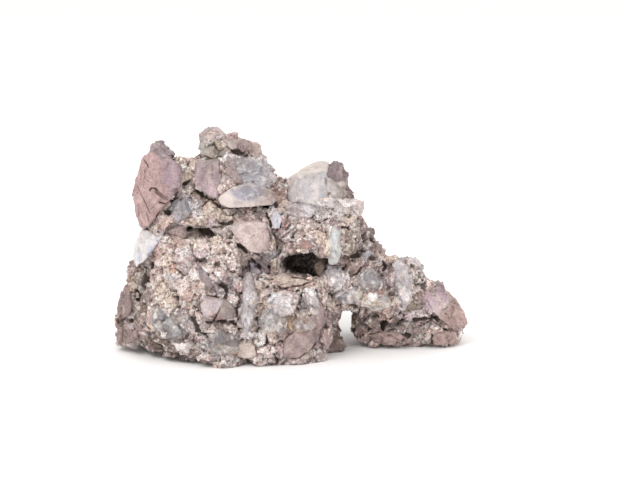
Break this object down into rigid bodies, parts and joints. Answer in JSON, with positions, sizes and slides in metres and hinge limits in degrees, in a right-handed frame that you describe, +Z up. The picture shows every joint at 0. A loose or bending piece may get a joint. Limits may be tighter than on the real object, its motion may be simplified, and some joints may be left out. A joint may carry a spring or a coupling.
{
  "type": "aquascaping rock",
  "caption": "Rough breccia rock for an aquarium layout: tall two-horned mass, banded block, small cave, and a low leg behind an arch.",
  "frame": {"origin": "centre of the rock's box in plan, on the ground it rests on", "axes": "+X along the rock's length towards the low leg, +Y from the cave's side to the back, +Z up"},
  "size_m": [0.3023, 0.1369, 0.1895],
  "materials": {
    "groundmass": "coarse grey-brown grit, dull",
    "porphyry": "mauve broken stone, dull",
    "chalcedony": "blue-white cloudy silica, waxy"
  },
  "bodies": {
    "root": {"rock": "groundmass"}
  },
  "joints": []
}
